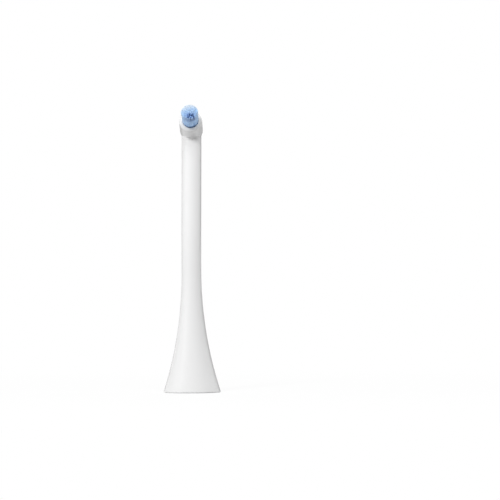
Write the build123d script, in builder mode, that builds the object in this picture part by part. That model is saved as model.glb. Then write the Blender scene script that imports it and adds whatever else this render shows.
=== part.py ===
"""Single-tuft brush head for an electric toothbrush, in millimetres.

+Z is up and the origin is the centre of the base rim, on which the head stands. The bristles face -Y.
The stem is one moulding: a flared skirt, a slim neck that leans back, and a short barrel that holds the tuft.
A drive insert with a spring clip sits inside the skirt. A folded tuft and its anchor sit in the barrel.
"""

import os
from math import cos, radians, sin, sqrt, tan

from build123d import *

# Flared skirt
base_diameter = 16.8
flare_height = 35.0
skirt_wall = 1.3
rim_chamfer = 0.25

# Neck and elbow
neck_diameter = 5.75
straight_length = 4.28
bend_angle = 9.0
bend_radius = 60.0
upper_neck_length = 33.0

# Collar that holds the tuft
head_tilt = 24.0
collar_diameter = 6.75
knuckle_diameter = 6.65
head_reach = 6.65
barrel_length = 6.65
collar_fillet = 0.85
neck_joint_fillet = 0.12
socket_depth = 3.2
socket_chamfer = 0.15

# Drive insert and its bore
shaft_diameter = 3.6
drive_diameter = 3.1
drive_flat_depth = 0.4
guide_length = 8.0
drive_length = 7.4
insert_recess = 6.0
insert_wall = 0.8
insert_end_wall = 0.9
flange_thickness = 1.6
rib_height = 4.4
rib_thickness = 1.0
rib_count = 4
rib_start_angle = 45.0
lead_in_chamfer = 0.4
snap_bead_height = 0.25
snap_bead_corners = 4
fit_clearance = 0.05
insert_end_clearance = 0.1

# Spring clip
clip_thickness = 0.25
clip_width = 2.0
clip_length = 5.7
clip_bite = 0.2
clip_end_gap = 0.1

# Bristle tuft and its anchor
tuft_diameter = 4.5
tuft_length = 7.0
crown_height = 1.2
tuft_splay = 0.12
root_recess = 0.6
filament_width = 0.2
filament_pitch = 0.28
filament_sides = 6
filament_row_angle = 60.0
filament_root = 0.3
anchor_thickness = 0.3
anchor_width = 1.5
anchor_bite = 0.2
anchor_floor_gap = 0.45

# Derived radii and levels
base_radius = base_diameter / 2
neck_radius = neck_diameter / 2
collar_radius = collar_diameter / 2
knuckle_radius = knuckle_diameter / 2
shaft_radius = shaft_diameter / 2
drive_radius = drive_diameter / 2
tube_radius = shaft_radius + insert_wall
pocket_radius = tube_radius + fit_clearance
tuft_radius = tuft_diameter / 2
socket_radius = tuft_radius + fit_clearance
guide_top = insert_recess + guide_length
drive_top = guide_top + drive_length
insert_top = drive_top + insert_end_wall
pocket_top = insert_top + insert_end_clearance
shoulder = insert_recess + rib_height + flange_thickness
flange_bottom = shoulder - flange_thickness
bead_level = shoulder - flange_thickness / 2

clip_level = guide_top + drive_length / 2
clip_crown_reach = drive_radius - clip_bite + clip_thickness / 2
clip_end_reach = sqrt(tube_radius**2 - (clip_width / 2) ** 2) - clip_thickness / 2

# The flare is one arc that leaves the neck straight down and ends at the base rim
flare_run = base_radius - neck_radius
flare_radius = (flare_run**2 + flare_height**2) / (2 * flare_run)


def skirt_radius(level, inset=0.0):
    """Radius of the flare at a level, on a surface that lies inset inside the outer one."""
    drop = flare_height - level
    return neck_radius + flare_radius - sqrt((flare_radius + inset) ** 2 - drop**2)


def skirt_points(low, high, inset):
    """Three points on the flare's section, from low to high."""
    levels = (low, (low + high) / 2, high)
    return [(skirt_radius(level, inset), level) for level in levels]


bead_centre = (skirt_radius(bead_level, skirt_wall), bead_level)

# The neck's corner points, and the frame of the collar's face
lean = Vector(0, sin(radians(bend_angle)), cos(radians(bend_angle)))
head_normal = Vector(0, -cos(radians(head_tilt)), sin(radians(head_tilt)))
neck_start = Vector(0, 0, flare_height)
bend_corner = neck_start + Vector(0, 0, straight_length + bend_radius * tan(radians(bend_angle / 2)))
elbow_corner = bend_corner + lean * upper_neck_length
face_centre = elbow_corner + head_normal * head_reach
head_axis = Axis(face_centre, head_normal)
head_plane = Plane(origin=face_centre, x_dir=(1, 0, 0), z_dir=head_normal)
head_section = Plane(origin=face_centre, x_dir=(1, 0, 0), z_dir=Vector(1, 0, 0).cross(head_normal))
anchor_plane = head_plane.offset(-(socket_depth - anchor_floor_gap))


# Moulded stem
with BuildPart() as brush_stem:
    with BuildSketch(head_section):
        with BuildLine():
            Polyline((0, 0), (collar_radius, 0), (knuckle_radius, -barrel_length))
            knuckle = CenterArc((0, -barrel_length), knuckle_radius, 0, -90)
            Line(knuckle @ 1, (0, 0))
        make_face()
    revolve(axis=head_axis)
    fillet(brush_stem.edges().filter_by(GeomType.CIRCLE).group_by(head_axis)[-1], collar_fillet)

    with BuildLine() as neck_path:
        FilletPolyline(neck_start, bend_corner, elbow_corner, radius=bend_radius)
    with BuildSketch(Plane.XY.offset(flare_height)):
        Circle(neck_radius)
    sweep(path=neck_path.wires()[0])
    upper_neck = brush_stem.faces().filter_by(GeomType.CYLINDER).sort_by(Axis.Z)[-1]
    joint_low = elbow_corner.Z - knuckle_diameter
    fillet(upper_neck.edges().filter_by_position(Axis.Z, joint_low, elbow_corner.Z), neck_joint_fillet)

    with BuildSketch(Plane.XZ) as skirt_section:
        with BuildLine():
            flare = TangentArc((neck_radius, flare_height), (base_radius, 0), tangent=(0, -1))
            Polyline(flare @ 1, (0, 0), (0, flare_height), flare @ 0)
        make_face()
        chamfer(skirt_section.vertices().sort_by(Axis.X)[-1], rim_chamfer)
    revolve(axis=Axis.Z)

    with BuildSketch(Plane.XZ):
        with BuildLine():
            inner_wall = ThreePointArc(*skirt_points(0, shoulder, skirt_wall))
            Polyline(
                inner_wall @ 1,
                (pocket_radius, shoulder),
                (pocket_radius, pocket_top),
                (0, pocket_top),
                (0, 0),
                inner_wall @ 0,
            )
        make_face()
        with Locations(bead_centre):
            RegularPolygon(snap_bead_height + 2 * fit_clearance, snap_bead_corners)
    revolve(axis=Axis.Z, mode=Mode.SUBTRACT)

    with BuildSketch(head_plane):
        Circle(socket_radius)
    extrude(amount=-socket_depth, mode=Mode.SUBTRACT)
    face_edges = brush_stem.edges().filter_by(GeomType.CIRCLE).group_by(head_axis)[-1]
    chamfer(face_edges.sort_by(SortBy.RADIUS)[0], socket_chamfer)

    with BuildSketch(anchor_plane):
        Rectangle(2 * (socket_radius + anchor_bite), anchor_thickness)
    extrude(amount=anchor_width, mode=Mode.SUBTRACT)
brush_stem.part.label = "brush_stem"


# One rib of the drive insert, shaped to the inside of the skirt
with BuildPart() as insert_rib:
    with BuildSketch(Plane.XZ):
        with BuildLine():
            rib_edge = ThreePointArc(*skirt_points(insert_recess, flange_bottom, skirt_wall + fit_clearance))
            Polyline(rib_edge @ 1, (shaft_radius, flange_bottom), (shaft_radius, insert_recess), rib_edge @ 0)
        make_face()
    extrude(amount=rib_thickness / 2, both=True)


# Drive insert: a bored tube with a snap flange and ribs that fill the skirt
with BuildPart() as drive_insert:
    with BuildSketch(Plane.XY.offset(insert_recess)):
        Circle(tube_radius)
    extrude(amount=insert_top - insert_recess)

    with BuildSketch(Plane.XZ):
        with BuildLine():
            flange_edge = ThreePointArc(*skirt_points(flange_bottom, shoulder, skirt_wall + fit_clearance))
            Polyline(flange_edge @ 1, (shaft_radius, shoulder), (shaft_radius, flange_bottom), flange_edge @ 0)
        make_face()
        with Locations(bead_centre):
            RegularPolygon(snap_bead_height, snap_bead_corners)
    revolve(axis=Axis.Z)

    with PolarLocations(0, rib_count, start_angle=rib_start_angle):
        add(insert_rib.part)

    with BuildSketch(Plane.XY.offset(insert_recess)):
        Circle(shaft_radius)
    extrude(amount=guide_length, mode=Mode.SUBTRACT)
    with BuildSketch(Plane.XY.offset(guide_top)):
        Circle(drive_radius)
        with Locations((0, drive_radius)):
            Rectangle(drive_diameter, 2 * drive_flat_depth, mode=Mode.SUBTRACT)
    extrude(amount=drive_length, mode=Mode.SUBTRACT)
    bore_mouth = drive_insert.edges().filter_by(GeomType.CIRCLE).group_by(Axis.Z)[0].sort_by(SortBy.RADIUS)
    chamfer(bore_mouth[0], lead_in_chamfer)

    with BuildSketch(Plane.XZ.offset(drive_radius / 2)):
        with Locations((0, clip_level)):
            Rectangle(clip_width + 2 * fit_clearance, clip_length + 2 * clip_end_gap)
    extrude(amount=tube_radius, mode=Mode.SUBTRACT)
drive_insert.part.label = "drive_insert"


# Spring clip: a bowed leaf in the insert's window, pressing on the shaft
with BuildPart() as spring_clip:
    with BuildSketch(Plane.YZ):
        with BuildLine() as clip_line:
            ThreePointArc(
                (-clip_end_reach, clip_level - clip_length / 2),
                (-clip_crown_reach, clip_level),
                (-clip_end_reach, clip_level + clip_length / 2),
            )
        trace(clip_line.line, clip_thickness)
    extrude(amount=clip_width / 2, both=True)
spring_clip.part.label = "spring_clip"


# Tuft anchor: a flat strip driven into the socket over the fold of the tuft
with BuildPart() as tuft_anchor:
    with BuildSketch(anchor_plane):
        Rectangle(2 * (socket_radius + anchor_bite), anchor_thickness)
    extrude(amount=anchor_width)
tuft_anchor.part.label = "tuft_anchor"


# One filament, drawn from its root up its own axis
with BuildPart() as filament:
    with BuildSketch():
        RegularPolygon(filament_width / 2, filament_sides, major_radius=False)
    extrude(amount=filament_root + root_recess + tuft_length)


def filament_places():
    """Rows of filaments on both sides of the anchor, fanned out from one point far below the tuft.

    Each filament is sunk along its own axis by the drop of the domed crown at its distance from the centre.
    """
    row_pitch = filament_pitch * sin(radians(filament_row_angle))
    first_row = anchor_thickness / 2 + filament_pitch / 2
    reach = tuft_radius - filament_width / 2 / cos(radians(180 / filament_sides))
    fan_depth = (tuft_length + root_recess) * tuft_radius / tuft_splay
    dome_radius = (reach**2 + crown_height**2) / (2 * crown_height)
    places = []
    for row in range(int((reach - first_row) / row_pitch) + 1):
        y = first_row + row * row_pitch
        shift = filament_pitch / 2 * (row % 2)
        count = int((sqrt(reach**2 - y**2) - shift) / filament_pitch)
        for column in range(-count - row % 2, count + 1):
            x = column * filament_pitch + shift
            drop = dome_radius - sqrt(dome_radius**2 - x**2 - y**2)
            for side in (1, -1):
                axis = Vector(x, side * y, fan_depth).normalized()
                root = Vector(x, side * y, -root_recess) - axis * (filament_root + drop)
                places.append(Plane(origin=root, z_dir=axis).location)
    return places


# Bristle tuft: filaments that stand to a dome, on the fold that fills the socket
with BuildPart(head_plane) as bristle_tuft:
    with BuildSketch(head_plane.offset(-socket_depth)):
        Circle(tuft_radius)
    extrude(amount=socket_depth - root_recess)
    with Locations(*filament_places()):
        add(filament.part)
    with BuildSketch(anchor_plane):
        Rectangle(2 * socket_radius, anchor_thickness)
    extrude(amount=socket_depth - root_recess, mode=Mode.SUBTRACT)
bristle_tuft.part.label = "bristle_tuft"


os.makedirs("parts", exist_ok=True)
export_step(brush_stem.part, "parts/brush_stem.step")
export_step(drive_insert.part, "parts/drive_insert.step")
export_step(spring_clip.part, "parts/spring_clip.step")
export_step(tuft_anchor.part, "parts/tuft_anchor.step")
export_step(bristle_tuft.part, "parts/bristle_tuft.step")
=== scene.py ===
# %% [markdown]
# # A single-tuft head for an electric toothbrush
# The head is one white moulding, a flared skirt under a slim neck, with a small tuft of blue bristles in
# a tilted barrel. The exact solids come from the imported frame, and this lesson dresses them: finishes for
# the moulding and the metal, a tuft with every filament in place, a white studio, and a camera that
# stands where the photographer stood.

from math import cos, radians, sin, tan

import bpy
import numpy as np
from mathutils import Matrix


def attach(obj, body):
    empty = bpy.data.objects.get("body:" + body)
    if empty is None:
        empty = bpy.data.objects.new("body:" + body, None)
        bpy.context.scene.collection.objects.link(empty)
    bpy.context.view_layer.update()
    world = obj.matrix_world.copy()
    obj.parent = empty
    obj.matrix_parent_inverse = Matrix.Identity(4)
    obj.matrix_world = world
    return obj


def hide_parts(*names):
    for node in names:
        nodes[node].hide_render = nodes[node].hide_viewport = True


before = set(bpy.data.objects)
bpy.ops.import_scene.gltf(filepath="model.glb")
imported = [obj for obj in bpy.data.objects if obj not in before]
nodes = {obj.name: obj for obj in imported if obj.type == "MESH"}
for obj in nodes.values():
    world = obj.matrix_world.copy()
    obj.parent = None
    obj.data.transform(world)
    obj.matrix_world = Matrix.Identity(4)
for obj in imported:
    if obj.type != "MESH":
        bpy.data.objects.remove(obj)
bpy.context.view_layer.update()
scene = bpy.context.scene
scene.view_settings.view_transform = "Standard"
mm = 0.001

# %% [markdown]
# ## The camera
# The photograph was taken from far off with a long lens, level with the middle of the head, so the base
# is seen a little from above and the barrel a little from below. A camera could be turned by eye until
# the outlines meet. Here it is worked out from three measured things: the scale of the picture at the
# head's axis, the pixels where that axis and the base stand, and the small turn that shows the barrel's
# left side.

# %% Camera
picture_px = 500
scale_mm = 0.2917
axis_px = 191.4
base_px = 392.0
aim_height = (base_px - picture_px / 2) * scale_mm
distance = 1180.0
turn = radians(2.1)
roll = radians(-0.36)
sensor_width = 36.0

right = np.array([cos(turn), sin(turn), 0.0])
ahead = np.array([-sin(turn), cos(turn), 0.0])
eye = -distance * ahead + (picture_px / 2 - axis_px) * scale_mm * right + np.array([0.0, 0.0, aim_height])

camera_data = bpy.data.cameras.new("camera")
camera_data.sensor_width = sensor_width
camera_data.lens = sensor_width * distance / (picture_px * scale_mm)
camera_data.clip_start = 0.05
camera_data.clip_end = 20.0
camera = bpy.data.objects.new("camera", camera_data)
scene.collection.objects.link(camera)
axes = Matrix((right, (0.0, 0.0, 1.0), -ahead)).transposed()
camera.matrix_world = Matrix.Translation(eye * mm) @ (axes @ Matrix.Rotation(roll, 3, "Z")).to_4x4()
scene.camera = camera
print("lens:", round(camera_data.lens, 1), "mm, eye:", np.round(eye, 1), "mm")

# %% [markdown]
# ## The studio
# The background is plain white. A world that is bright enough to look white would wash out the white
# plastic. So the world is white to the camera and to reflections, and gives only a soft light to
# everything else.


# %% World
def add_node(tree, kind, **values):
    """One node, with input sockets set by name from values."""
    made = tree.nodes.new(kind)
    for key, value in values.items():
        made.inputs[key.replace("_", " ")].default_value = value
    return made


def seen_directly(tree):
    """A value that is 1 for camera, glossy and transmission rays and 0 for the rest."""
    path = tree.nodes.new("ShaderNodeLightPath")
    first = tree.nodes.new("ShaderNodeMath")
    first.operation = "MAXIMUM"
    second = tree.nodes.new("ShaderNodeMath")
    second.operation = "MAXIMUM"
    tree.links.new(path.outputs["Is Camera Ray"], first.inputs[0])
    tree.links.new(path.outputs["Is Glossy Ray"], first.inputs[1])
    tree.links.new(first.outputs[0], second.inputs[0])
    tree.links.new(path.outputs["Is Transmission Ray"], second.inputs[1])
    return second.outputs[0]


def grey(level):
    """An opaque grey as a node colour."""
    return level, level, level, 1.0


ambient = 0.15
world = bpy.data.worlds.new("white_studio")
world.use_nodes = True
scene.world = world
tree = world.node_tree
tree.nodes.clear()
soft = add_node(tree, "ShaderNodeBackground", Color=grey(1.0), Strength=ambient)
paper = add_node(tree, "ShaderNodeBackground", Color=grey(1.0), Strength=1.0)
choose = tree.nodes.new("ShaderNodeMixShader")
out = tree.nodes.new("ShaderNodeOutputWorld")
tree.links.new(seen_directly(tree), choose.inputs[0])
tree.links.new(soft.outputs[0], choose.inputs[1])
tree.links.new(paper.outputs[0], choose.inputs[2])
tree.links.new(choose.outputs[0], out.inputs[0])
print("world: white to the eye,", ambient, "to everything else")

# %% [markdown]
# The floor is white paper. A sheet that only glows would hide the shadow that the head stands on, and one
# that is only matt would end in a grey horizon. So the glow takes over from the matt paper with distance,
# and the paper that sends light back up under the collar is a plain grey one that the eye never sees.


# %% Floor
def new_material(name):
    """An empty node material and its tree."""
    made = bpy.data.materials.new(name)
    made.use_nodes = True
    made.node_tree.nodes.clear()
    return made, made.node_tree


def rectangle(name, centre, across, up):
    """A flat rectangle: centre plus u times across plus v times up, for u and v in -1 and 1, in metres."""
    centre, across, up = (np.asarray(v, float) for v in (centre, across, up))
    u = np.array([-1, 1, 1, -1.0])[:, None]
    v = np.array([-1, -1, 1, 1.0])[:, None]
    mesh = bpy.data.meshes.new(name)
    mesh.from_pydata((centre + u * across + v * up).tolist(), [], [(0, 1, 2, 3)])
    made = bpy.data.objects.new(name, mesh)
    scene.collection.objects.link(made)
    return made


floor_half = 8.0
bounce_grey, paper_grey = 0.55, 0.95
near_reach, far_reach = 0.02, 0.25
near_glow, far_glow = 0.90, 1.0
floor = rectangle("floor", (0, 0, 0), (floor_half, 0, 0), (0, floor_half, 0))
floor_paper, tree = new_material("floor_paper")
bounce = add_node(tree, "ShaderNodeBsdfDiffuse", Color=grey(bounce_grey))
matt = add_node(tree, "ShaderNodeBsdfDiffuse", Color=grey(paper_grey))
glow = add_node(tree, "ShaderNodeEmission", Color=grey(1.0), Strength=1.0)
place = tree.nodes.new("ShaderNodeTexCoord")
reach = tree.nodes.new("ShaderNodeVectorMath")
reach.operation = "LENGTH"
share = add_node(tree, "ShaderNodeMapRange", From_Min=near_reach, From_Max=far_reach)
share.inputs["To Min"].default_value = near_glow
share.inputs["To Max"].default_value = far_glow
share.interpolation_type = "SMOOTHSTEP"
seen = tree.nodes.new("ShaderNodeMixShader")
choose = tree.nodes.new("ShaderNodeMixShader")
out = tree.nodes.new("ShaderNodeOutputMaterial")
tree.links.new(place.outputs["Object"], reach.inputs[0])
tree.links.new(reach.outputs["Value"], share.inputs["Value"])
tree.links.new(share.outputs[0], seen.inputs[0])
tree.links.new(matt.outputs[0], seen.inputs[1])
tree.links.new(glow.outputs[0], seen.inputs[2])
tree.links.new(seen_directly(tree), choose.inputs[0])
tree.links.new(bounce.outputs[0], choose.inputs[1])
tree.links.new(seen.outputs[0], choose.inputs[2])
tree.links.new(choose.outputs[0], out.inputs[0])
floor.data.materials.append(floor_paper)
print("floor:", [round(side, 1) for side in floor.dimensions], "m")

# %% [markdown]
# A white thing on white paper needs an edge. A photographer sets black cards just outside the picture,
# and the glossy sides pick them up as thin dark lines. Two cards stand far behind the head, for the edges
# of the neck. The barrel's sides look down at the floor, so two grey cards lie there for them. The flared
# skirt looks upwards, past all four, and stays pale. The cards show in reflections only, so none of them
# darkens the paper.


# %% Cards
def card(name, level, centre, across, up):
    """A card of one grey that only reflections show: it throws no shadow, and the camera looks past it."""
    made = rectangle(name, centre, across, up)
    paper, tree = new_material(name)
    matt = add_node(tree, "ShaderNodeBsdfDiffuse", Color=grey(level))
    out = tree.nodes.new("ShaderNodeOutputMaterial")
    tree.links.new(matt.outputs[0], out.inputs[0])
    made.data.materials.append(paper)
    made.visible_camera = False
    made.visible_diffuse = False
    made.visible_shadow = False
    return made


black, low_right_grey, low_left_grey = 0.02, 0.5, 0.4
cards = (
    card("card_right", black, (0.73, 1.00, 0.12), (0.68, -0.50, 0.0), (0.0, 0.0, 0.06)),
    card("card_left", black, (-0.30, 1.45, 0.31), (0.24, 0.05, 0.0), (0.0, 0.0, 0.30)),
    card("card_low_right", low_right_grey, (0.24, 0.70, 0.001), (0.18, 0.0, 0.0), (0.0, 0.58, 0.0)),
    card("card_low_left", low_left_grey, (-0.25, 0.75, 0.001), (0.17, 0.0, 0.0), (0.0, 0.55, 0.0)),
)
print("cards:", [made.name for made in cards])

# %% [markdown]
# The photograph's shadows give its lamps away. The collar throws a wedge of shade to the lower right of
# the neck, so the main lamp stands to the left, 35 degrees up. A broader one above the camera softens it,
# and a low lamp on either side keeps the flanks pale. A narrow strip makes the single bright streak down
# the skirt, and a last lamp from behind clears the back and the top of the tuft. Their powers were fitted
# to the grey levels along the neck and the skirt. Only the strip shows in reflections, because the others
# are far broader there than anything that the photograph's gloss shows.

# %% Lamps
middle = (0.0, 0.0, 0.05)


def lamp(name, place, width, height, power):
    """A rectangular area lamp at place, facing the head's middle, in metres and watts."""
    data = bpy.data.lights.new(name, "AREA")
    data.shape = "RECTANGLE"
    data.size = width
    data.size_y = height
    data.energy = power
    made = bpy.data.objects.new(name, data)
    scene.collection.objects.link(made)
    back = np.asarray(place, float) - np.asarray(middle, float)
    back /= np.linalg.norm(back)
    side = np.cross((0.0, 0.0, 1.0), back)
    side /= np.linalg.norm(side)
    turned = Matrix((side, np.cross(back, side), back)).transposed()
    made.matrix_world = Matrix.Translation(place) @ turned.to_4x4()
    made.visible_camera = False
    return made


def polar(azimuth, elevation, reach):
    """A point at reach from the head's middle: azimuth runs to the right of the camera's side, in degrees."""
    a, e = radians(azimuth), radians(elevation)
    return reach * sin(a) * cos(e), -reach * cos(a) * cos(e), middle[2] + reach * sin(e)


lamp_reach = 1.2
strip_reach = 0.80
# Name, azimuth, elevation, side in metres and watts of each broad lamp
broad_lamps = (
    ("key", -18, 35, 0.2, 6.6),
    ("over", 10, 46, 0.5, 4.9),
    ("left", -90, 2, 0.3, 3.8),
    ("right", 120, 15, 0.4, 3.4),
    ("back", 180, 50, 0.8, 5.5),
)
for name, azimuth, elevation, side, power in broad_lamps:
    broad = lamp(name, polar(azimuth, elevation, lamp_reach), side, side, power)
    broad.visible_glossy = False
lamp("strip", polar(-53, 12, strip_reach), width=0.02, height=0.40, power=0.25)

# %% [markdown]
# ## Moulded plastic
# The stem and the insert are injection mouldings. Their surface isn't a mirror: the mould leaves a faint
# grain, and the gloss wavers a little where the plastic shrank. Each plastic could have noises of its
# own. One node group gives them to both, a slow waver of tone and gloss and a fine grain, and each takes
# it at its strength.


# %% Moulded surface group
def moulded_surface():
    """Node group: gloss is a slow noise about 0, tone is 1 plus tone depth times it, grain a fine noise."""
    group = bpy.data.node_groups.new("moulded_surface", "ShaderNodeTree")
    for name, start in (("Waver per metre", 60.0), ("Grain per metre", 5200.0), ("Tone depth", 0.02)):
        socket = group.interface.new_socket(name, in_out="INPUT", socket_type="NodeSocketFloat")
        socket.default_value = start
    for name in ("Tone", "Gloss", "Grain"):
        group.interface.new_socket(name, in_out="OUTPUT", socket_type="NodeSocketFloat")
    given = group.nodes.new("NodeGroupInput")
    result = group.nodes.new("NodeGroupOutput")
    place = group.nodes.new("ShaderNodeTexCoord")
    slow = add_node(group, "ShaderNodeTexNoise", Detail=2.0)
    fine = add_node(group, "ShaderNodeTexNoise", Detail=3.0)
    for noise, rate in ((slow, "Waver per metre"), (fine, "Grain per metre")):
        group.links.new(place.outputs["Object"], noise.inputs["Vector"])
        group.links.new(given.outputs[rate], noise.inputs["Scale"])
    centred = group.nodes.new("ShaderNodeMath")
    centred.operation = "SUBTRACT"
    centred.inputs[1].default_value = 0.5
    tone = group.nodes.new("ShaderNodeMath")
    tone.operation = "MULTIPLY_ADD"
    tone.inputs[2].default_value = 1.0
    group.links.new(slow.outputs[0], centred.inputs[0])
    group.links.new(centred.outputs[0], tone.inputs[0])
    group.links.new(given.outputs["Tone depth"], tone.inputs[1])
    group.links.new(tone.outputs[0], result.inputs["Tone"])
    group.links.new(centred.outputs[0], result.inputs["Gloss"])
    group.links.new(fine.outputs[0], result.inputs["Grain"])
    return group


surface_group = moulded_surface()
print("group:", surface_group.name, "with", len(surface_group.nodes), "nodes")


# %% Moulded plastics
def moulded_plastic(name, colour, roughness, gloss_depth, grain_mm, tone_depth):
    """A plastic: colour times tone, roughness plus gloss_depth times gloss, and the grain as a bump."""
    made, tree = new_material(name)
    skin = add_node(tree, "ShaderNodeBsdfPrincipled", IOR=1.49)
    out = tree.nodes.new("ShaderNodeOutputMaterial")
    texture = tree.nodes.new("ShaderNodeGroup")
    texture.node_tree = surface_group
    texture.inputs["Tone depth"].default_value = tone_depth
    tint = tree.nodes.new("ShaderNodeVectorMath")
    tint.operation = "SCALE"
    tint.inputs[0].default_value = colour
    rough = tree.nodes.new("ShaderNodeMath")
    rough.operation = "MULTIPLY_ADD"
    rough.inputs[1].default_value = gloss_depth
    rough.inputs[2].default_value = roughness
    bump = add_node(tree, "ShaderNodeBump", Strength=1.0, Distance=grain_mm * mm)
    tree.links.new(texture.outputs["Tone"], tint.inputs["Scale"])
    tree.links.new(tint.outputs[0], skin.inputs["Base Color"])
    tree.links.new(texture.outputs["Gloss"], rough.inputs[0])
    tree.links.new(rough.outputs[0], skin.inputs["Roughness"])
    tree.links.new(texture.outputs["Grain"], bump.inputs["Height"])
    tree.links.new(bump.outputs[0], skin.inputs["Normal"])
    tree.links.new(skin.outputs[0], out.inputs[0])
    return made


def dress(node, material):
    """Gives a CAD node one material and leaves its mesh as it is."""
    nodes[node].data.materials.clear()
    nodes[node].data.materials.append(material)
    print(node, "wears", material.name)


satin_white = moulded_plastic(
    "white_satin_plastic",
    (0.86, 0.86, 0.86),
    roughness=0.20,
    gloss_depth=0.08,
    grain_mm=0.002,
    tone_depth=0.02,
)
natural = moulded_plastic(
    "natural_plastic",
    (0.78, 0.79, 0.78),
    roughness=0.45,
    gloss_depth=0.12,
    grain_mm=0.006,
    tone_depth=0.03,
)
dress("brush_stem", satin_white)
dress("drive_insert", natural)

# %% [markdown]
# ## Clip and anchor
# The spring clip is a strip of steel and the tuft's anchor a strip of brass, both drawn and cut. Drawing
# leaves fine streaks along the strip. They could be modelled as grooves, but they are far too fine for
# that. One node group makes a noise, and each metal stretches it along its own direction.


# %% Drawn streaks group
def drawn_streaks():
    """Node group: streak is a noise of the place given, 0 to 1, with a little finer noise on it."""
    group = bpy.data.node_groups.new("drawn_streaks", "ShaderNodeTree")
    group.interface.new_socket("Place", in_out="INPUT", socket_type="NodeSocketVector")
    group.interface.new_socket("Streak", in_out="OUTPUT", socket_type="NodeSocketFloat")
    given = group.nodes.new("NodeGroupInput")
    result = group.nodes.new("NodeGroupOutput")
    noise = add_node(group, "ShaderNodeTexNoise", Scale=1.0, Detail=3.0)
    group.links.new(given.outputs["Place"], noise.inputs["Vector"])
    group.links.new(noise.outputs[0], result.inputs["Streak"])
    return group


streak_group = drawn_streaks()
print("group:", streak_group.name, "with", len(streak_group.nodes), "nodes")

# %% Drawn metals
streak_roughness = 0.2
streak_height_mm = 0.002
close, stretched = 9000, 500


def drawn_metal(name, dark, light, roughness, streaks_per_metre):
    """A metal whose colour runs from dark to light with the streak, and whose roughness rises with it."""
    made, tree = new_material(name)
    skin = add_node(tree, "ShaderNodeBsdfPrincipled", Metallic=1.0)
    out = tree.nodes.new("ShaderNodeOutputMaterial")
    place = tree.nodes.new("ShaderNodeTexCoord")
    stretch = add_node(tree, "ShaderNodeMapping", Scale=streaks_per_metre)
    texture = tree.nodes.new("ShaderNodeGroup")
    texture.node_tree = streak_group
    tint = tree.nodes.new("ShaderNodeValToRGB")
    tint.color_ramp.elements[0].color = (*dark, 1.0)
    tint.color_ramp.elements[1].color = (*light, 1.0)
    rough = tree.nodes.new("ShaderNodeMath")
    rough.operation = "MULTIPLY_ADD"
    rough.inputs[1].default_value = streak_roughness
    rough.inputs[2].default_value = roughness
    bump = add_node(tree, "ShaderNodeBump", Strength=1.0, Distance=streak_height_mm * mm)
    tree.links.new(place.outputs["Object"], stretch.inputs["Vector"])
    tree.links.new(stretch.outputs[0], texture.inputs["Place"])
    tree.links.new(texture.outputs["Streak"], tint.inputs[0])
    tree.links.new(tint.outputs[0], skin.inputs["Base Color"])
    tree.links.new(texture.outputs["Streak"], rough.inputs[0])
    tree.links.new(rough.outputs[0], skin.inputs["Roughness"])
    tree.links.new(texture.outputs["Streak"], bump.inputs["Height"])
    tree.links.new(bump.outputs[0], skin.inputs["Normal"])
    tree.links.new(skin.outputs[0], out.inputs[0])
    return made


steel_dark, steel_light = (0.42, 0.43, 0.45), (0.68, 0.69, 0.70)
brass_dark, brass_light = (0.56, 0.40, 0.14), (0.85, 0.66, 0.30)
dress("spring_clip", drawn_metal("spring_steel", steel_dark, steel_light, 0.22, (close, close, stretched)))
dress("tuft_anchor", drawn_metal("anchor_brass", brass_dark, brass_light, 0.25, (stretched, close, close)))

# %% [markdown]
# ## The tuft
# The tuft is some hundreds of round filaments, folded under the anchor and cut to a low dome. A textured
# dome would look painted from the side, so each filament is made: a round section carried along a
# slightly bent line, with a rounded end. The tuft has a frame of its own on the collar's face: x across,
# y up the face and z out along the filaments. Its place comes from the lengths and angles of the solids,
# in millimetres and degrees.

# %% Collar frame
flare_height = 35.0
straight_length = 4.28
bend_angle = radians(9.0)
bend_radius = 60.0
upper_neck_length = 33.0
head_tilt = radians(24.0)
head_reach = 6.65
bend_height = flare_height + straight_length + bend_radius * tan(bend_angle / 2)
elbow_height = bend_height + upper_neck_length * cos(bend_angle)
elbow = np.array([0.0, upper_neck_length * sin(bend_angle), elbow_height])
head_normal = np.array([0.0, -cos(head_tilt), sin(head_tilt)])
head_up = np.array([0.0, sin(head_tilt), cos(head_tilt)])
face_centre = elbow + head_reach * head_normal
print("collar face at", np.round(face_centre, 2), "mm")

# %% [markdown]
# The tuft has the width, the length and the crown of its solid, with finer filaments. They are packed like
# coins on a table, in a triangular grid that is only a little shaken. The anchor parts them at the root,
# and just above the collar the two halves have closed over it. The dome is splayed a little to both sides.
# Its lower middle is ruffled: there the tips lean together in small bunches.

# %% Tuft sizes
tuft_radius = 2.25
tuft_length = 7.0
crown_height = 1.2
tuft_splay = np.array([0.33, 0.07])
root_level = -2.8
filament_radius = 0.084
filament_pitch = 0.165
grid_reach = 20
shake = 0.012
tip_scatter = 0.04
bunch_count = 90
bunch_pull = 0.05
ruffle_pull = 0.35
ruffle_centre = np.array([0.4, -1.65])
ruffle_size = np.array([1.2, 0.75])
tuft_seed = 7
print("tuft:", 2 * tuft_radius, "mm wide,", tuft_length, "mm out of the collar")


# %% Places and tips
def filament_places():
    """Places on a triangular grid inside the tuft's circle, each shaken a little.

    Rows lie half the root of three pitches apart, and every other row is moved by half a pitch.
    """
    steps = np.arange(-grid_reach, grid_reach + 1)
    column, row = np.meshgrid(steps, steps)
    x = (column + 0.5 * (row % 2)) * filament_pitch
    y = (row + 0.5) * filament_pitch * np.sqrt(3) / 2
    grid = np.stack([x.ravel(), y.ravel()], 1)
    grid = grid + rng.normal(0, shake, grid.shape)
    return grid[np.hypot(grid[:, 0], grid[:, 1]) < tuft_radius - filament_radius]


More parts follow.
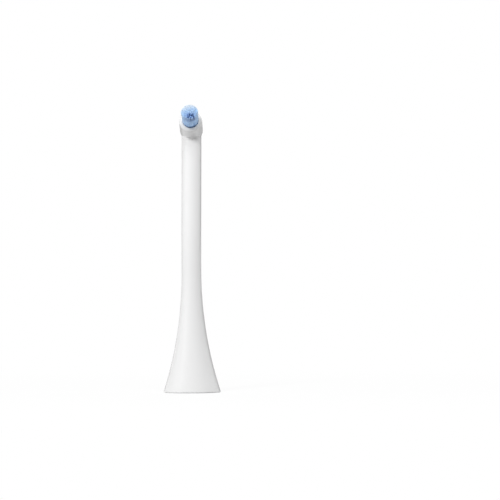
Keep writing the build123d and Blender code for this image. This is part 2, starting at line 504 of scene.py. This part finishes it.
def filament_tips(places, ruffle):
    """Tips: the places spread by the splay, and drawn to the nearest bunch's centre by more where ruffled."""
    bunches = places[rng.permutation(len(places))[:bunch_count]]
    away = np.linalg.norm(places[:, None] - bunches[None], axis=2)
    pull = bunches[away.argmin(1)] - places
    spread = places * (1 + tuft_splay / tuft_radius)
    return spread + (bunch_pull + ruffle_pull * ruffle[:, None]) * pull + rng.normal(0, shake, places.shape)


rng = np.random.default_rng(tuft_seed)
places = filament_places()
count = len(places)
edge_share = np.hypot(places[:, 0], places[:, 1]) / tuft_radius
ruffle = np.exp(-(((places - ruffle_centre) / ruffle_size) ** 2).sum(1))
tips = filament_tips(places, ruffle)
dome_radius = (tuft_radius**2 + crown_height**2) / (2 * crown_height)
drop = dome_radius - np.sqrt(dome_radius**2 - (places**2).sum(1))
full_level = tuft_length - drop - np.abs(rng.normal(0, tip_scatter, count))
print("filaments:", count, "tips from", full_level.min().round(2), "to", full_level.max().round(2), "mm")

# %% [markdown]
# Some filaments in the ruffled place are short. They leave the small dark holes that the camera sees
# there. The holes are scattered at random, with a fixed seed, so that the tuft comes out the same each
# time.

# %% Short filaments
speck_count = 34
speck_radius = 0.15
least_ruffle = 0.2
last_edge_share = 0.92
least_short, most_short = 1.0, 2.4
specks = ruffle_centre + rng.uniform(-1, 1, (speck_count, 2)) * ruffle_size
speck_reach = np.linalg.norm(places[:, None] - specks[None], axis=2).min(1)
short = (speck_reach < speck_radius) & (ruffle > least_ruffle) & (edge_share < last_edge_share)
tip_level = full_level - np.where(short, rng.uniform(least_short, most_short, count), 0.0)
print("short filaments:", int(short.sum()))

# %% [markdown]
# All filaments are worked out at once, as one array of filament, ring and corner. Six corners are enough
# for a shaft a sixth of a millimetre thick, and three close rings round its end.

# %% Filaments
sides = 6
shaft_rings = np.array([0.0, 0.45, 0.75])
end_rings = np.array([0.0, 0.55, 0.9])
anchor_half = 0.15
closed_share = 0.44
splay_power = 1.5
bow_mm = 0.03


def anchor_parting(places):
    """Moves of the roots off the anchor: half its thickness at its middle, nothing at the tuft's edge."""
    shift = np.sign(places[:, 1]) * anchor_half * (1 - np.abs(places[:, 1]) / tuft_radius)
    return np.stack([np.zeros(len(shift)), shift], 1)


def filaments():
    """Points of every filament, and the level of each of its rings.

    share runs 0 to 1 from root to tip. The axis is the place, plus the anchor's parting that fades to nothing
    at closed_share, plus the way to the tip times a power of share, plus a bow that is largest halfway. The
    ring radius is constant up the shaft and falls as a quarter circle at the end.
    """
    corner = np.arange(sides) * 2 * np.pi / sides
    bow = rng.normal(0, bow_mm, (count, 2))
    length = tip_level - root_level
    shaft = root_level + shaft_rings * (length - filament_radius)[:, None]
    end = (tip_level - filament_radius)[:, None] + filament_radius * end_rings
    level = np.concatenate([shaft, end], axis=1)
    width = filament_radius * np.concatenate([np.ones(len(shaft_rings)), np.sqrt(1 - end_rings**2)])
    share = (level - root_level) / length[:, None]
    parting = np.clip(1 - share / closed_share, 0, 1)[..., None] * anchor_parting(places)[:, None]
    reach = share[..., None] ** splay_power * (tips - places)[:, None]
    axis = places[:, None] + parting + reach + (4 * share * (1 - share))[..., None] * bow[:, None]
    x = axis[..., 0, None] + width[None, :, None] * np.cos(corner)
    y = axis[..., 1, None] + width[None, :, None] * np.sin(corner)
    z = np.broadcast_to(level[..., None], x.shape)
    return np.stack([x, y, z], -1), level


shafts, level = filaments()
rings = shafts.shape[1]
print("points: filament, ring, corner, axis:", shafts.shape)


# %% Tuft piece
def ring_faces():
    """Quads between neighbouring rings of every filament, and one flat end on each tip and root."""
    base = np.arange(count)[:, None, None] * rings * sides
    ring = np.arange(rings - 1)[:, None] * sides
    here, there = np.arange(sides), (np.arange(sides) + 1) % sides
    low, high = base + ring, base + ring + sides
    quads = np.stack([low + here, low + there, high + there, high + here], -1)
    tops = base[:, :, 0] + (rings - 1) * sides + here
    ends = base[:, :, 0] + here[::-1]
    return quads.reshape(-1, 4).tolist() + tops.tolist() + ends.tolist()


def to_part(local):
    """Points of the collar's frame (across, up the face, out along the tuft) in the part's, in metres."""
    x, y, z = np.moveaxis(local, -1, 0)[..., None]
    return (face_centre + x * np.array([1.0, 0.0, 0.0]) + y * head_up + z * head_normal) * mm


mesh = bpy.data.meshes.new("bristles")
mesh.from_pydata(to_part(shafts).reshape(-1, 3).tolist(), [], ring_faces())
mesh.shade_smooth()
bristles = bpy.data.objects.new("bristles", mesh)
scene.collection.objects.link(bristles)
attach(bristles, "root")
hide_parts("bristle_tuft")
print("tuft faces:", len(mesh.polygons))

# %% [markdown]
# ## Bristle colour
# The filaments are a clear light blue. Light runs along them and falls on the tuft from above, and the colour
# carries this as painted light: pale tips, the palest at the top of the tuft. The shafts keep their blue down
# to just above the collar, and below that the foot is darkened into the socket as painted shade. Painted
# shade also deepens the blue between the ruffled tips. Clear plastic would have to be traced through hundreds
# of walls, so the colour carries all this instead. Four marks on the mesh say where a point is: how far up
# its filament, how much painted shade its ruffled place takes, how much painted light it takes near the top,
# and a tone of its filament's own.

# %% Bristle marks
# The "shaded" mark weighs the painted shade of the ruffled place, half as strong on the rim.
rim_start, rim_run = 0.78, 0.14
shade_gain = 1.4
rim_relief = 0.5
# Painted light: the "upper" mark rises towards the top of the tuft and leans to its left, the side of the
# main lamp.
painted_light_lean = 0.3
pale_start, pale_run = -0.3, 1.6
rim = np.clip((edge_share - rim_start) / rim_run, 0.0, 1.0)
marks = {
    "along": (level - root_level) / (full_level - root_level)[:, None],
    "shaded": np.clip(shade_gain * ruffle, 0.0, 1.0) * (1 - rim_relief * rim),
    "upper": np.clip((places[:, 1] - painted_light_lean * places[:, 0] - pale_start) / pale_run, 0.0, 1.0),
    "tone": rng.random(count),
}
for name, values in marks.items():
    mark = mesh.attributes.new(name, "FLOAT", "POINT")
    points_each = count * rings * sides // values.size
    mark.data.foreach_set("value", np.repeat(values.ravel(), points_each).astype(np.float32))
    print(name, "from", values.min().round(2), "to", values.max().round(2))

# %% [markdown]
# Three ramps run up the filament, each with the painted shade of the foot: one for the lower tuft, with
# painted light on its tips; one for its top, with paler painted light; and one for the ruffled place, where
# painted shade makes the blue deepest just below the tips. The marks mix them, and a faint painted glow of
# the same blue stands for the light that comes through from behind.


# %% Bristle material
def ramp_node(tree, stops):
    """A colour ramp with the given position and colour of each stop."""
    made = tree.nodes.new("ShaderNodeValToRGB")
    elements = made.color_ramp.elements
    for _ in range(len(stops) - 2):
        elements.new(0.5)
    for element, (position, colour) in zip(elements, stops):
        element.position = position
        element.color = (*colour, 1.0)
    return made


def attribute(tree, name):
    """The value of a named mark on the mesh."""
    made = tree.nodes.new("ShaderNodeAttribute")
    made.attribute_name = name
    return made.outputs["Fac"]


def blend_colours(tree, share, first, second):
    """First colour where share is 0, second where it is 1."""
    made = tree.nodes.new("ShaderNodeMix")
    made.data_type = "RGBA"
    tree.links.new(share, made.inputs["Factor"])
    tree.links.new(first, made.inputs[6])
    tree.links.new(second, made.inputs[7])
    return made.outputs[2]


# Painted shade at the foot: the blue darkens towards the root, in the socket and just above the collar's
# face.
root_shade_blue, shaft_blue = (0.04, 0.10, 0.32), (0.52, 0.73, 1.0)
# Painted shade between the ruffled tips: the blue darkens just below the tips, and the ruffled tips stay
# darker than the rest.
hole_shade_blue, tip_shade_blue, shaded_ruffled_tip = (0.03, 0.09, 0.32), (0.05, 0.13, 0.42), (0.36, 0.59, 1.0)
# Painted light: the tips pale towards their ends, and the top tips are the palest and greyest.
lit_lower_tip, lit_upper_tip = (0.58, 0.78, 1.0), (0.80, 0.88, 0.96)
# Stops of each ramp: the share of the filament's length from its root, and the colour there
# The foot of every ramp is painted shade, darkest in the socket.
foot = ((0.24, root_shade_blue), (0.37, shaft_blue))
ruffle_shade_stops = (*foot, (0.68, shaft_blue), (0.77, hole_shade_blue), (0.92, tip_shade_blue), (1.0, shaded_ruffled_tip))
lower_stops = (*foot, (0.92, shaft_blue), (1.0, lit_lower_tip))
upper_stops = (*foot, (0.90, shaft_blue), (1.0, lit_upper_tip))
bristle_blue, tree = new_material("bristle_blue")
# The emission is a painted glow in the bristles' own colour, standing for light that comes through the
# filaments from behind.
skin = add_node(tree, "ShaderNodeBsdfPrincipled", IOR=1.53, Roughness=0.4, Emission_Strength=0.06)
out = tree.nodes.new("ShaderNodeOutputMaterial")
along = attribute(tree, "along")
ruffled = ramp_node(tree, ruffle_shade_stops)
lower = ramp_node(tree, lower_stops)
upper = ramp_node(tree, upper_stops)
for ramp in (ruffled, lower, upper):
    tree.links.new(along, ramp.inputs[0])
plain = blend_colours(tree, attribute(tree, "upper"), lower.outputs[0], upper.outputs[0])
whole = blend_colours(tree, attribute(tree, "shaded"), plain, ruffled.outputs[0])
batch = add_node(tree, "ShaderNodeMapRange", To_Min=0.90, To_Max=1.05)
tint = tree.nodes.new("ShaderNodeVectorMath")
tint.operation = "SCALE"
tree.links.new(attribute(tree, "tone"), batch.inputs["Value"])
tree.links.new(whole, tint.inputs[0])
tree.links.new(batch.outputs[0], tint.inputs["Scale"])
tree.links.new(tint.outputs[0], skin.inputs["Base Color"])
tree.links.new(tint.outputs[0], skin.inputs["Emission Color"])
tree.links.new(skin.outputs[0], out.inputs[0])
bristles.data.materials.append(bristle_blue)
print("bristle nodes:", len(tree.nodes))
